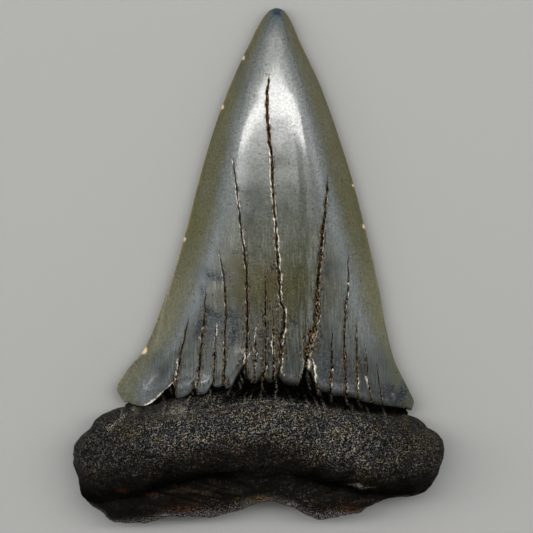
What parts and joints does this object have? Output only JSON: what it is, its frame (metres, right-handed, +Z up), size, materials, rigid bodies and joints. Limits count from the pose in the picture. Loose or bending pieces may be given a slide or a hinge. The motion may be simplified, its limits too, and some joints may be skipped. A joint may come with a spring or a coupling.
{
  "type": "fossil mako shark tooth",
  "caption": "Fossil mako shark tooth with a cracked grey-blue enamel crown and a dark porous root, lying on its flat face.",
  "frame": {"origin": "middle of the tooth's outline seen from above, on the surface that it lies on", "axes": "+X across the tooth to the right seen from above with the tip away from the viewer, +Y from the root to the tip, +Z up out of the convex lingual face"},
  "size_m": [0.05, 0.0702, 0.0131],
  "materials": {
    "enamel": "glossy grey-blue fossil enamel with olive margins and fine dark cracks",
    "root": "matt near-black porous fossil bone, finely grained"
  },
  "bodies": {
    "root": {"tooth": "enamel"}
  },
  "joints": []
}
